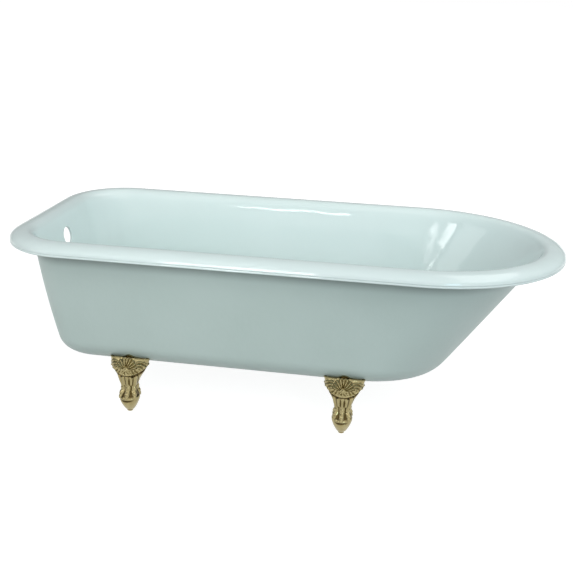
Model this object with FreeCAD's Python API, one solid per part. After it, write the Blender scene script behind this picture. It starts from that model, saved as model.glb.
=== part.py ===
"""Cast-iron clawfoot bathtub with a rolled rim, four claw-and-ball feet and their fasteners.

Frame: millimetres, +Z up. The origin is on the floor under the middle of the rim's length and width.
The drain end, which is upright and has the overflow hole, is at -X. The sloping head end is at +X.
The long side that faces the viewer is at -Y.
"""

import FreeCAD
import Part
import math
import os

Vector = FreeCAD.Vector

# ---------------------------------------------------------------- tub casting
RIM_LENGTH = 1676.0           # over the rolled rim
RIM_WIDTH = 788.0
RIM_HEIGHT = 576.0            # floor to the rim's highest line
WALL = 7.0                    # iron with its enamel
RIM_CORNER_RADIUS = 215.0     # plan radius of the two drain-end corners, at the rim's edge
RIM_HEAD_AXIS = 437.0         # plan length of the half-elliptic head end, at the rim's edge

CROWN_INSET = 49.0            # rim's edge to its highest line
ROLL_FALL = 20.0              # highest line down to the widest line of the roll
ROLL_INNER_RADIUS = 26.0      # bend from the rim down into the basin
LIP_DEPTH = 34.0              # highest line down to the bottom of the turned-down lip

BELLY_HEIGHT = 152.0          # floor to the flat underside
DRAIN_END_RUN = 144.0         # how far each wall comes in, from the rim's edge to the belly's corner
HEAD_END_RUN = 347.0
SIDE_RUN = 150.5
BELLY_FILLET = 92.0           # bend from the walls into the belly, on the outside
BELLY_CORNER_RADIUS = 60.0    # plan radius of the belly's two drain-end corners
BELLY_HEAD_AXIS = 240.0       # plan length of the belly's half-elliptic head end

OVERFLOW_BELOW_RIM = 89.0     # rim's highest line to the overflow hole's centre
OVERFLOW_RADIUS = 29.0
DRAIN_FROM_CORNER = 134.0     # belly's drain-end corner to the drain hole's centre
DRAIN_RADIUS = 26.0
DRAIN_DISH_RADIUS = 46.0      # shallow dish round the drain hole, inside
DRAIN_DISH_DEPTH = 4.0
DRAIN_PAD_RADIUS = 50.0       # thick ring round the drain hole, underneath
DRAIN_PAD_DEPTH = 5.0

# ---------------------------------------------------------------- lugs and fasteners
LUG_WIDTH = 64.0              # along the tub
LUG_REACH = 52.0              # across the tub
LUG_DEPTH = 16.0              # hangs below the belly
LUG_FLOOR = 6.0               # iron left under the bolt's head
BOLT_FROM_FOOT = 90.0         # foot's centre to its bolt, towards the middle of the tub
BOLT_DIAMETER = 10.0
BOLT_HEAD_WIDTH = 17.0
BOLT_HEAD_HEIGHT = 6.5
BOLT_LENGTH = 36.0            # under the head
BOLT_CLEARANCE = 1.0          # slot and holes are this much wider than the bolt
WASHER_DIAMETER = 24.0
WASHER_THICKNESS = 2.0
NUT_WIDTH = 17.0              # across flats
NUT_HEIGHT = 8.0
NUT_CLEARANCE = 0.2           # on the diameter

# ---------------------------------------------------------------- feet
DRAIN_FEET_FROM_END = 371.0   # rim's drain-end edge to the drain-end feet
HEAD_FEET_FROM_END = 629.0    # rim's head-end edge to the head-end feet
FEET_FROM_SIDE = 147.0        # rim's side edge to the feet
SADDLE_GAP = 0.3              # foot to tub, where the foot hugs the belly's bend
FOOT_WALL = 7.0               # iron round the hollow behind the shell

TANG_WIDTH = 58.0             # plate that reaches under the tub to the bolt
TANG_THICKNESS = 10.0
TANG_PAST_BOLT = 24.0

BALL_HALF_WIDTH = 32.0
NECK_HALF_WIDTH = 23.7
SHELL_HALF_WIDTH = 62.0
SHELL_ABOVE_BELLY = 40.0      # tip of the crest above the belly's underside
CREST_RISE = 15.0             # tip of the crest above its two shoulders
CREST_HALF_WIDTH = 17.0

FAN_ABOVE_BELLY = 6.0         # middle of the fan above the belly's underside
FAN_RADIUS = 29.0
FAN_RIBS = 9
FAN_SPREAD = 152.0            # degrees from the first rib to the last
FAN_RIB_RADII = (1.3, 3.6)    # at the fan's middle and at the rib's tip
SCROLL_OUT = 33.0             # middle of each scroll from the foot's middle
SCROLL_BELOW_BELLY = 4.0
SCROLL_RADII = (8.5, 16.5)
SCROLL_BEAD = 2.8
SCROLL_KNOB = 5.0
NECK_RIBS = 3
NECK_RIB_SPACING = 11.0
NECK_RIB_RADIUS = 4.0
TOE_ANGLES = (-52.0, 0.0, 52.0, 180.0)   # round the ball, from the front
TOE_RADIUS = 6.0

# ---------------------------------------------------------------- levelling glides
GLIDE_RADIUS = 10.0
GLIDE_THICKNESS = 4.0
GLIDE_FLATS = 17.0            # spanner flats
GLIDE_CHAMFER = 0.8
STUD_DIAMETER = 10.0
STUD_LENGTH = 28.0
STUD_CLEARANCE = 0.16         # on the diameter
STUD_HOLE_SPARE = 3.0         # hole is this much deeper than the stud

# ---------------------------------------------------------------- derived places
LUG_BOTTOM = BELLY_HEIGHT - LUG_DEPTH
FOOT_TOP = BELLY_HEIGHT + SHELL_ABOVE_BELLY
FOOT_Y = RIM_WIDTH / 2 - FEET_FROM_SIDE
DRAIN_X = -(RIM_LENGTH / 2 - DRAIN_END_RUN) + DRAIN_FROM_CORNER
FEET_X = {
    "drain": -(RIM_LENGTH / 2 - DRAIN_FEET_FROM_END),
    "head": RIM_LENGTH / 2 - HEAD_FEET_FROM_END,
}


# ================================================================ tub casting
class Section:
    """Upright section through one wall, from the belly up to the roll.

    out is the distance from the tub's middle. depth is measured into the iron and past it, from the
    outer surface: 0 is the outer surface and WALL is the inner one.
    """

    def __init__(self, rim_out, run):
        self.roll_out = rim_out - CROWN_INSET
        self.roll_height = RIM_HEIGHT - ROLL_INNER_RADIUS
        self.bend = ROLL_INNER_RADIUS - WALL
        corner_out = rim_out - run
        across = self.roll_out - corner_out
        up = self.roll_height - BELLY_HEIGHT
        self.lean = math.acos(self.bend / math.hypot(across, up)) - math.atan2(up, across)
        self.fillet_out = corner_out - BELLY_FILLET * math.tan((math.pi / 2 - self.lean) / 2)

    def out(self, height, depth):
        """Distance out to the surface at that height."""
        fillet = BELLY_FILLET - depth
        below_centre = BELLY_HEIGHT + BELLY_FILLET - height
        if below_centre > fillet * math.sin(self.lean):
            return self.fillet_out + math.sqrt(max(fillet**2 - below_centre**2, 0.0))
        bend = self.bend + depth
        above_centre = height - self.roll_height
        if above_centre < bend * math.sin(self.lean):
            over_tangent = above_centre - bend * math.sin(self.lean)
            return self.roll_out - bend * math.cos(self.lean) + over_tangent * math.tan(self.lean)
        return self.roll_out - math.sqrt(max(bend**2 - above_centre**2, 0.0))


DRAIN_SECTION = Section(RIM_LENGTH / 2, DRAIN_END_RUN)
HEAD_SECTION = Section(RIM_LENGTH / 2, HEAD_END_RUN)
SIDE_SECTION = Section(RIM_WIDTH / 2, SIDE_RUN)
LEAST_LEAN = min(s.lean for s in (DRAIN_SECTION, HEAD_SECTION, SIDE_SECTION))


def quarter(start, corner, end):
    """Quarter of an ellipse from start to end, whose tangents meet at corner."""
    curve = Part.BezierCurve()
    curve.setPoles([start, corner, end])
    curve.setWeight(2, math.sqrt(0.5))
    return curve.toShape()


def line(start, end):
    return Part.LineSegment(start, end).toShape()


def d_wire(height, drain_out, head_out, side_out, corner, head_axis):
    """Plan outline of the tub: flat drain end with round corners, half-elliptic head end."""
    head_x = head_out - head_axis

    def at(x, y):
        return Vector(x, y, height)

    return Part.Wire([
        quarter(at(head_out, 0), at(head_out, side_out), at(head_x, side_out)),
        line(at(head_x, side_out), at(corner - drain_out, side_out)),
        quarter(at(corner - drain_out, side_out), at(-drain_out, side_out),
                at(-drain_out, side_out - corner)),
        line(at(-drain_out, side_out - corner), at(-drain_out, corner - side_out)),
        quarter(at(-drain_out, corner - side_out), at(-drain_out, -side_out),
                at(corner - drain_out, -side_out)),
        line(at(corner - drain_out, -side_out), at(head_x, -side_out)),
        quarter(at(head_x, -side_out), at(head_out, -side_out), at(head_out, 0)),
    ])


def rim_ring(inset, below_crown):
    """Outline that keeps one distance in from the rim's edge."""
    return d_wire(
        RIM_HEIGHT - below_crown,
        RIM_LENGTH / 2 - inset,
        RIM_LENGTH / 2 - inset,
        RIM_WIDTH / 2 - inset,
        RIM_CORNER_RADIUS - inset,
        RIM_HEAD_AXIS - inset,
    )


def wall_ring(height, depth):
    """Outline of the walls at one height, at that depth from the outer surface."""
    side_out = SIDE_SECTION.out(height, depth)
    inset = RIM_WIDTH / 2 - side_out
    share = (height - BELLY_HEIGHT) / (SIDE_SECTION.roll_height - BELLY_HEIGHT)
    share = min(max(share, 0.0), 1.0)
    return d_wire(
        height,
        DRAIN_SECTION.out(height, depth),
        HEAD_SECTION.out(height, depth),
        side_out,
        share * (RIM_CORNER_RADIUS - inset) + (1 - share) * (BELLY_CORNER_RADIUS - depth),
        share * (RIM_HEAD_AXIS - inset) + (1 - share) * (BELLY_HEAD_AXIS - depth),
    )


def steps(first, last, count):
    return [first + (last - first) * i / count for i in range(count + 1)]


def fillet_rings(depth):
    """Outlines up the bend between the belly and the walls."""
    radius = BELLY_FILLET - depth
    return [
        wall_ring(BELLY_HEIGHT + BELLY_FILLET - radius * math.cos(turn), depth)
        for turn in steps(0.0, math.pi / 2 - LEAST_LEAN, 10)
    ]


def bend_rings(depth):
    """Outlines up the bend between the walls and the rim's highest line."""
    radius = ROLL_INNER_RADIUS - WALL + depth
    return [
        wall_ring(SIDE_SECTION.roll_height + radius * math.sin(turn), depth)
        for turn in steps(LEAST_LEAN, math.pi / 2, 8)
    ]


def roll_rings(depth_in):
    """Outlines from the rim's highest line over to its widest line, depth_in inside the top surface."""
    across = CROWN_INSET - depth_in
    fall = ROLL_FALL - depth_in
    return [
        rim_ring(depth_in + across * (1 - math.cos(turn)), ROLL_FALL - fall * math.sin(turn))
        for turn in steps(math.pi / 2, 0.0, 8)
    ]


def lip_rings():
    """Outlines round the half-round bottom of the lip, from outside to inside."""
    radius = WALL / 2
    centre = LIP_DEPTH - radius
    return [
        rim_ring(radius * (1 - math.cos(turn)), centre + radius * math.sin(turn))
        for turn in steps(0.0, math.pi, 6)
    ]


def skin(rings, ruled=False):
    return Part.makeLoft(rings, False, ruled).Faces


def solid_of(faces):
    shell = Part.makeShell(faces)
    shell.sewShape()
    solid = Part.makeSolid(shell)
    if solid.Volume < 0:
        solid.reverse()
    return solid


def tub_shell():
    """The casting without holes and lugs: belly, walls and rolled rim of one thickness."""
    inner_fillet = fillet_rings(WALL)
    inner_bend = bend_rings(WALL)
    outer_fillet = fillet_rings(0.0)
    outer_bend = bend_rings(0.0)
    top = roll_rings(0.0)
    under = roll_rings(WALL)
    lip = lip_rings()
    faces = [Part.Face(inner_fillet[0]), Part.Face(outer_fillet[0])]
    faces += skin(inner_fillet)
    faces += skin([inner_fillet[-1], inner_bend[0]], True)
    faces += skin(inner_bend)
    faces += skin(top)
    faces += skin([top[-1], lip[0]], True)
    faces += skin(lip)
    faces += skin([lip[-1], under[-1]], True)
    faces += skin(under)
    faces += skin(outer_bend)
    faces += skin([outer_fillet[-1], outer_bend[0]], True)
    faces += skin(outer_fillet)
    return solid_of(faces)


def tub_block(depth):
    """Solid filled to the brim inside the surface at that depth, below the rim's bend."""
    fillet = fillet_rings(depth)
    brim = bend_rings(depth)[0]
    faces = [Part.Face(fillet[0]), Part.Face(brim)]
    faces += skin(fillet)
    faces += skin([fillet[-1], brim], True)
    return solid_of(faces)


def box(x, y, z):
    """Box from (low, high) pairs."""
    return Part.makeBox(x[1] - x[0], y[1] - y[0], z[1] - z[0], Vector(x[0], y[0], z[0]))


def to_foot(shape, x):
    """Moves a shape from the foot's own frame, where it faces -Y, to its place on the viewer's side."""
    moved = shape.copy()
    moved.translate(Vector(x, -FOOT_Y, 0))
    return moved


def mirrored(shape):
    return shape.mirror(Vector(0, 0, 0), Vector(0, 1, 0))


def lug():
    """Cast block under the belly, in the foot's frame."""
    half = LUG_WIDTH / 2
    middle = BOLT_FROM_FOOT
    into_wall = WALL / 2
    return box((-half, half), (middle - LUG_REACH / 2, middle + LUG_REACH / 2),
               (LUG_BOTTOM, BELLY_HEIGHT + into_wall))


def lug_slot():
    """T-slot for the bolt, open towards the tub's middle, in the foot's frame."""
    neck = (BOLT_DIAMETER + BOLT_CLEARANCE) / 2
    head = (BOLT_HEAD_WIDTH + 2 * BOLT_CLEARANCE) / 2
    start = BOLT_FROM_FOOT - head
    end = BOLT_FROM_FOOT + LUG_REACH
    seat = LUG_BOTTOM + LUG_FLOOR
    cavity = box((-head, head), (start, end), (seat, seat + BOLT_HEAD_HEIGHT + BOLT_CLEARANCE))
    slit = box((-neck, neck), (BOLT_FROM_FOOT - neck, end), (LUG_BOTTOM - 1, seat + 1))
    return cavity.fuse(slit)


def overflow_hole():
    """Square to the drain-end wall."""
    height = RIM_HEIGHT - OVERFLOW_BELOW_RIM
    lean = DRAIN_SECTION.lean
    outward = Vector(-math.cos(lean), 0, -math.sin(lean))
    length = 6 * WALL
    centre = Vector(-DRAIN_SECTION.out(height, WALL / 2), 0, height)
    return Part.makeCylinder(OVERFLOW_RADIUS, length, centre - outward * (length / 2), outward)


def tub_body():
    tub = tub_shell()
    pad = Part.makeCylinder(DRAIN_PAD_RADIUS, DRAIN_PAD_DEPTH + WALL / 2,
                            Vector(DRAIN_X, 0, BELLY_HEIGHT - DRAIN_PAD_DEPTH))
    lugs = []
    slots = []
    for x in FEET_X.values():
        lugs += [to_foot(lug(), x), mirrored(to_foot(lug(), x))]
        slots += [to_foot(lug_slot(), x), mirrored(to_foot(lug_slot(), x))]
    tub = tub.fuse([pad] + lugs)
    inside = BELLY_HEIGHT + WALL
    dish = Part.makeCone(DRAIN_RADIUS, DRAIN_DISH_RADIUS, DRAIN_DISH_DEPTH,
                         Vector(DRAIN_X, 0, inside - DRAIN_DISH_DEPTH))
    drain = Part.makeCylinder(DRAIN_RADIUS, 6 * WALL, Vector(DRAIN_X, 0, BELLY_HEIGHT - 3 * WALL))
    return tub.cut(slots + [dish, drain, overflow_hole()])


# ================================================================ feet
def leg_rows():
    """Sections of the leg: (height, half width, middle, front, back). The middle is how far the widest
    line lies towards the tub, front and back are the depths on either side of it. The ball's heights
    count from the floor and the shell's from the belly, so the ankle takes up a change of height."""
    ball, neck, shell = BALL_HALF_WIDTH, NECK_HALF_WIDTH, SHELL_HALF_WIDTH
    base = GLIDE_THICKNESS
    belly = BELLY_HEIGHT
    return [
        (base, ball * 0.31, 0, ball * 0.31, ball * 0.31),
        (base + 4, ball * 0.45, 0, ball * 0.47, ball * 0.45),
        (base + 11, ball * 0.60, 0, ball * 0.65, ball * 0.62),
        (base + 20, ball * 0.75, 0, ball * 0.84, ball * 0.77),
        (base + 30, ball * 0.885, 0, ball * 1.00, ball * 0.92),
        (base + 40, ball * 0.98, 0, ball * 1.08, ball * 1.00),
        (base + 48, ball, 0, ball * 1.07, ball * 1.02),
        (base + 60, ball * 0.91, 1, ball * 0.90, ball * 0.95),
        (base + 76, neck, 3, neck * 0.84, neck * 0.95),
        (belly - 55, neck * 1.19, 5, neck * 1.05, neck * 1.15),
        (belly - 37, shell * 0.57, 8, shell * 0.52, shell * 0.52),
        (belly - 15, shell * 0.775, 12, shell * 0.66, shell * 0.66),
        (belly + 6, shell * 0.94, 15, shell * 0.72, shell * 0.79),
        (belly + 23, shell, 17, shell * 0.58, shell * 0.80),
        (belly + 34, shell * 1.01, 18, shell * 0.46, shell * 0.80),
        (belly + 50, shell, 19, shell * 0.42, shell * 0.80),
    ]


LEG_ROWS = leg_rows()


def leg_section(height):
    """(half width, middle, front, back) at one height, on a smooth curve through the rows."""
    rows = LEG_ROWS
    last = len(rows) - 1
    i = max(k for k in range(last) if k == 0 or rows[k][0] <= height)
    span = rows[i + 1][0] - rows[i][0]
    t = (height - rows[i][0]) / span

    def slope(k, column):
        low, high = rows[max(k - 1, 0)], rows[min(k + 1, last)]
        return (high[column] - low[column]) / (high[0] - low[0]) * span

    def value(column):
        start, end = rows[i][column], rows[i + 1][column]
        first, second = slope(i, column), slope(i + 1, column)
        return (start * (1 + 2 * t) * (1 - t)**2 + first * t * (1 - t)**2
                + end * t**2 * (3 - 2 * t) - second * t**2 * (1 - t))

    return tuple(value(column) for column in (1, 2, 3, 4))


def oval(height, half_width, middle, front, back):
    """Closed section of the leg, with its own depth in front and behind."""

    def at(x, y):
        return Vector(x, y, height)

    return Part.Wire([
        quarter(at(0, middle - front), at(half_width, middle - front), at(half_width, middle)),
        quarter(at(half_width, middle), at(half_width, middle + back), at(0, middle + back)),
        quarter(at(0, middle + back), at(-half_width, middle + back), at(-half_width, middle)),
        quarter(at(-half_width, middle), at(-half_width, middle - front), at(0, middle - front)),
    ])


def on_leg(height, degrees, lift=0.0):
    """Point on the leg's surface, degrees round from the front, lifted off it by that much."""
    half_width, middle, front, back = leg_section(height)
    turn = math.radians(degrees)
    depth = front if math.cos(turn) > 0 else back
    return Vector((half_width + lift) * math.sin(turn), middle - (depth + lift) * math.cos(turn), height)


def on_front(across, height, lift=0.0):
    """Point on the leg's front at that distance from its middle."""
    share = across / leg_section(height)[0]
    return on_leg(height, math.degrees(math.asin(max(min(share, 0.98), -0.98))), lift)


def crest_height(across):
    """Top edge of the shell: two level shoulders and a rounded tip between them."""
    return FOOT_TOP - CREST_RISE * (1 - math.exp(-(across / CREST_HALF_WIDTH)**2))


def above_crest():
    """Everything above the crest's line."""
    reach = 2 * SHELL_HALF_WIDTH
    edge = Part.BSplineCurve()
    edge.interpolate([Vector(x, -reach, crest_height(x)) for x in steps(-reach, reach, 48)])
    top = FOOT_TOP + CREST_RISE
    corners = [edge.EndPoint, Vector(reach, -reach, top), Vector(-reach, -reach, top), edge.StartPoint]
    sides = [line(a, b) for a, b in zip(corners, corners[1:])]
    return Part.Face(Part.Wire([edge.toShape()] + sides)).extrude(Vector(0, 2 * reach, 0))


def leg():
    """Ball, ankle and flaring shell as one smooth body."""
    return Part.makeLoft([oval(*row) for row in LEG_ROWS], True)


def hollow():
    """Room behind the shell and above and below the tang, open towards the tub and closed at the top."""
    low = BELLY_HEIGHT - 46
    roof = FOOT_TOP - CREST_RISE - FOOT_WALL
    rings = []
    for height, closing in ((low, 2.0), (low + 10, 1.2), (BELLY_HEIGHT - 15, 1.0), (roof, 1.0)):
        half_width, middle, front, back = leg_section(height)
        wall = FOOT_WALL * closing
        rings.append(oval(height, half_width - wall, middle, front - wall, back + 30))
    return Part.makeLoft(rings, True, True)


def bar(start, end, start_radius, end_radius):
    """Tapered round bar with round ends."""
    along = end - start
    cone = Part.makeCone(start_radius, end_radius, along.Length, start, along)
    knob = 1.04
    return [cone, Part.makeSphere(start_radius * knob, start), Part.makeSphere(end_radius * knob, end)]


def fan():
    """Ribs that spread from one point up to the crest."""
    middle = BELLY_HEIGHT + FAN_ABOVE_BELLY
    ribs = []
    for degrees in steps(-FAN_SPREAD / 2, FAN_SPREAD / 2, FAN_RIBS - 1):
        turn = math.radians(degrees)
        across, up = math.sin(turn), math.cos(turn)
        length = FAN_RADIUS
        while middle + length * up > crest_height(length * across) - 2 * FAN_RIB_RADII[1]:
            length -= 1.0
        start = on_front(4 * across, middle + 4 * up)
        end = on_front(length * across, middle + length * up)
        ribs += bar(start, end, *FAN_RIB_RADII)
    return ribs


def scrolls():
    """Two rings round a knob, one scroll on each side of the fan's middle."""
    height = BELLY_HEIGHT - SCROLL_BELOW_BELLY
    rings = []
    for side in (-1, 1):
        centre = on_front(side * SCROLL_OUT, height)
        beside = on_front(side * (SCROLL_OUT - 6), height), on_front(side * (SCROLL_OUT + 6), height)
        above = on_front(side * SCROLL_OUT, height + 6) - on_front(side * SCROLL_OUT, height - 6)
        outward = (beside[1] - beside[0]).cross(above).normalize()
        rings.append(Part.makeSphere(SCROLL_KNOB, centre))
        for radius in SCROLL_RADII:
            sunk = centre - outward * (radius / 12)
            rings.append(Part.makeTorus(radius, SCROLL_BEAD, sunk, outward))
    return rings


def neck_ribs():
    """Upright leaf ribs on the front of the ankle."""
    ribs = []
    spread = NECK_RIB_SPACING * (NECK_RIBS - 1) / 2
    heights = [BELLY_HEIGHT - drop for drop in (24, 40, 56, 70)]
    for across in steps(-spread, spread, NECK_RIBS - 1):
        points = [on_front(across * share, z, -1.0) for z, share in zip(heights, (1.2, 1.0, 0.85, 0.75))]
        radii = [NECK_RIB_RADIUS * k for k in (0.8, 1.1, 1.0, 0.8)]
        for i in range(3):
            ribs += bar(points[i], points[i + 1], radii[i], radii[i + 1])[:2]
    return ribs


def toes():
    """Knuckled toes down over the ball, each ending in a point."""
    base = GLIDE_THICKNESS
    pieces = []
    for degrees in TOE_ANGLES:
        heights = [base + h for h in (80, 66, 54, 41, 27)]
        radii = [TOE_RADIUS * k for k in (0.9, 1.1, 1.0, 0.85, 0.2)]
        points = [on_leg(z, degrees, lift) for z, lift in zip(heights, (-2.0, 0.0, 0.5, 0.5, 0.0))]
        for i in range(4):
            pieces += bar(points[i], points[i + 1], radii[i], radii[i + 1])[:2]
    return pieces


def tang():
    """Flat plate from the shell's front wall to under the lug."""
    half = TANG_WIDTH / 2
    return box((-half, half), (-SHELL_HALF_WIDTH, BOLT_FROM_FOOT + TANG_PAST_BOLT),
               (LUG_BOTTOM - TANG_THICKNESS, LUG_BOTTOM))


def foot_blank():
    """Foot in its own frame, before the tub's bend is cut out of it."""
    body = leg()
    plate = tang()
    outside = box((-TANG_WIDTH, TANG_WIDTH), (0, 2 * BOLT_FROM_FOOT), (0, BELLY_HEIGHT))
    plate_in_leg = plate.common(body)
    plate_behind = plate.common(outside)
    body = body.cut(hollow())
    for ornament in (toes(), neck_ribs(), scrolls(), fan()):
        body = body.fuse(ornament)
    body = body.cut(above_crest()).fuse([plate_in_leg, plate_behind])
    bolt_hole = Part.makeCylinder((BOLT_DIAMETER + BOLT_CLEARANCE) / 2, 3 * TANG_THICKNESS,
                                  Vector(0, BOLT_FROM_FOOT, LUG_BOTTOM - 2 * TANG_THICKNESS))
    stud_hole = Part.makeCylinder((STUD_DIAMETER + STUD_CLEARANCE) / 2,
                                  STUD_LENGTH + STUD_HOLE_SPARE, Vector(0, 0, GLIDE_THICKNESS))
    return body.cut([bolt_hole, stud_hole])


def feet():
    """The four feet by name."""
    blank = foot_blank()
    bend = tub_block(-SADDLE_GAP)
    made = {}
    for end, x in FEET_X.items():
        foot = to_foot(blank, x).cut([bend, to_foot(lug(), x)])
        made["foot_%s_front" % end] = foot
        made["foot_%s_back" % end] = mirrored(foot)
    return made


# ================================================================ fasteners and glides
def bolt():
    seat = LUG_BOTTOM + LUG_FLOOR
    half = BOLT_HEAD_WIDTH / 2
    head = box((-half, half), (BOLT_FROM_FOOT - half, BOLT_FROM_FOOT + half),
               (seat, seat + BOLT_HEAD_HEIGHT))
    shank = Part.makeCylinder(BOLT_DIAMETER / 2, BOLT_LENGTH,
                              Vector(0, BOLT_FROM_FOOT, seat - BOLT_LENGTH))
    return head.fuse(shank)


def washer():
    top = LUG_BOTTOM - TANG_THICKNESS
    place = Vector(0, BOLT_FROM_FOOT, top - WASHER_THICKNESS)
    disc = Part.makeCylinder(WASHER_DIAMETER / 2, WASHER_THICKNESS, place)
    return disc.cut(Part.makeCylinder((BOLT_DIAMETER + BOLT_CLEARANCE) / 2, WASHER_THICKNESS, place))


def hexagon(across_flats, height, place):
    corner = across_flats / math.sqrt(3)
    corners = [
        place + Vector(corner * math.cos(math.radians(a)), corner * math.sin(math.radians(a)), 0)
        for a in range(0, 361, 60)
    ]
    return Part.Face(Part.makePolygon(corners)).extrude(Vector(0, 0, height))


def nut():
    top = LUG_BOTTOM - TANG_THICKNESS - WASHER_THICKNESS
    place = Vector(0, BOLT_FROM_FOOT, top - NUT_HEIGHT)
    bore = Part.makeCylinder((BOLT_DIAMETER + NUT_CLEARANCE) / 2, NUT_HEIGHT, place)
    return hexagon(NUT_WIDTH, NUT_HEIGHT, place).cut(bore)


def glide():
    """Pad on the floor with a stud that screws up into the ball."""
    pad = Part.makeCylinder(GLIDE_RADIUS, GLIDE_THICKNESS)
    pad = pad.makeChamfer(GLIDE_CHAMFER, pad.Edges)
    half = GLIDE_FLATS / 2
    pad = pad.common(box((-half, half), (-GLIDE_RADIUS, GLIDE_RADIUS), (0, GLIDE_THICKNESS)))
    stud = Part.makeCylinder(STUD_DIAMETER / 2, STUD_LENGTH + 1, Vector(0, 0, GLIDE_THICKNESS - 1))
    return pad.fuse(stud)


def small_parts():
    """Bolts, washers, nuts and glides by name."""
    made = {}
    for kind, make in (("bolt", bolt), ("washer", washer), ("nut", nut), ("glide", glide)):
        piece = make()
        for end, x in FEET_X.items():
            placed = to_foot(piece, x)
            made["%s_%s_front" % (kind, end)] = placed
            made["%s_%s_back" % (kind, end)] = mirrored(placed)
    return made


def main():
    os.makedirs("parts", exist_ok=True)
    nodes = {"tub_body": tub_body()}
    nodes.update(feet())
    nodes.update(small_parts())
    for name, shape in nodes.items():
        solids = shape.Solids
        print(name, len(solids), "solid", "valid" if shape.isValid() else "NOT VALID",
              round(shape.Volume / 1000, 1), "cm3")
        Part.makeCompound(solids).exportStep("parts/%s.step" % name)


main()
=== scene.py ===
import math

import bmesh
import bpy
from mathutils import Matrix, Vector


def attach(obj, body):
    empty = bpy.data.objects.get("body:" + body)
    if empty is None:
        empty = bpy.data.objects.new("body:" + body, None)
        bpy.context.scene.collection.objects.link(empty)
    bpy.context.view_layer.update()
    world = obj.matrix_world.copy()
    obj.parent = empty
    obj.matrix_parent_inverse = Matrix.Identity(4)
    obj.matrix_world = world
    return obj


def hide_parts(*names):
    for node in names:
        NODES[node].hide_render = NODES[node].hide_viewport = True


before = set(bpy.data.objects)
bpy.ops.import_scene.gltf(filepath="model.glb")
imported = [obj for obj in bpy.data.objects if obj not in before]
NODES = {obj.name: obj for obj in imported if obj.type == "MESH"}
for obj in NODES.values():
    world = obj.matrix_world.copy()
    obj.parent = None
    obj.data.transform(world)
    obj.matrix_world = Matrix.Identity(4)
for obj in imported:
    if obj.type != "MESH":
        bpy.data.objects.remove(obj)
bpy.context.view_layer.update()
MM = 0.001

# ------------------------------------------------------------ tub, in millimetres as in the solid
RIM_LENGTH, RIM_WIDTH, RIM_HEIGHT = 1676.0, 788.0, 576.0
WALL = 7.0
RIM_CORNER_RADIUS, RIM_HEAD_AXIS = 215.0, 437.0
CROWN_INSET, ROLL_FALL, ROLL_INNER_RADIUS, LIP_DEPTH = 49.0, 20.0, 26.0, 34.0
LIP_HOLLOW = 1.2                         # groove above the lip's bead
LIP_FLAT = (-36.0, -5.0)                 # the bead's flat face, in degrees from its widest line
LIP_SHADE_DEPTH = 92.0                         # painted shade on the paint from here below the rim up to the lip
FACE_FALL, BAND = 25.0, (18.0, 23.0)     # roll's face, and the narrow flat band on it
EASE_START, EASE_RADIUS = 537.0, 200.0   # gentle curve of the inner wall up to the bend
BELLY_HEIGHT = 152.0
DRAIN_END_RUN, HEAD_END_RUN, SIDE_RUN = 144.0, 347.0, 150.5
BELLY_FILLET, BELLY_CORNER_RADIUS, BELLY_HEAD_AXIS = 92.0, 60.0, 240.0
OVERFLOW_BELOW_RIM, OVERFLOW_RADIUS, OVERFLOW_ROUND = 89.0, 29.0, 2.2
DRAIN_X, DRAIN_RADIUS, DRAIN_DISH_RADIUS, DRAIN_DISH_DEPTH = -560.0, 26.0, 46.0, 4.0
DRAIN_ROUND = 5.0                        # rounded edge between the hole and its dish
DRAIN_PAD_RADIUS, DRAIN_PAD_DEPTH = 50.0, 5.0
LUG_WIDTH, LUG_REACH, LUG_DEPTH, LUG_FLOOR = 64.0, 52.0, 16.0, 6.0
LUG_BEVEL, TANG_BEVEL = 1.2, 1.0
BOLT_FROM_FOOT = 90.0
SLOT_NECK, SLOT_HEAD, SLOT_HEIGHT = 11.0, 19.0, 7.5
LUG_INTO_BELLY, PAD_INTO_BELLY = 3.4, 3.0
PAST_BODY = 5.0                          # how far cutting bodies stand out of what they cut
HEAD_STEPS, SIDE_STEPS, CORNER_STEPS, END_STEPS = 64, 48, 36, 12     # round half the outline
FILLET_STEPS, WALL_STEPS, BEND_STEPS, ROLL_STEPS = 24, 60, 20, 24    # up the section
HOLLOW_STEPS, BEAD_STEPS = 8, 12         # down the lip and round its bead

# ------------------------------------------------------------ feet, each in its own frame facing -Y
FEET_X = {"drain": -467.0, "head": 209.0}
FOOT_Y = 247.0
FOOT_BASE, FOOT_TOP = 4.0, 192.0
SADDLE_GAP = 0.3
FOOT_WALL = 7.0
BALL, NECK, SHELL = 32.0, 23.7, 62.0
CREST_RISE, CREST_HALF_WIDTH = 15.0, 17.0
TANG_WIDTH, TANG_THICKNESS, TANG_PAST_BOLT, TANG_START = 58.0, 10.0, 24.0, -14.0
FRONT_FALL = 6.0                         # top of the carved front below the foot's top
FAN_ABOVE_BELLY, FAN_RADIUS, FAN_HEIGHT, FAN_BOSS = 1.0, 38.0, 4.6, 5.0
FAN_SPREAD, FAN_STEP = 166.5, 18.5       # degrees
SCROLL_OUT, SCROLL_ABOVE_BELLY, SCROLL_RADIUS, SCROLL_PITCH, SCROLL_KNOB = 36.0, 0.0, 25.0, 8.6, 6.0
PETAL_LENGTH, PETAL_SPREAD, PETAL_STEP = 14.0, 66.0, 44.0
CUP_BELOW_BELLY, CUP_RISE, CUP_HALF_WIDTH = 21.0, 14.0, 44.0
LEAF_ABOVE_BASE, LEAF_RIBS = 86.0, 5
LEAF_SPACING = (10.5, 15.0)              # between the ribs, at the leaf's foot and its top
TOE_ANGLES = (-52.0, 0.0, 52.0, 118.0, 180.0, 242.0)
TOE_TOP, TOE_UPPER, TOE_LOWER, TOE_NAIL, TOE_TIP = 97.0, 83.0, 70.0, 61.0, 50.0
TOE_HEIGHT = 6.6
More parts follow.
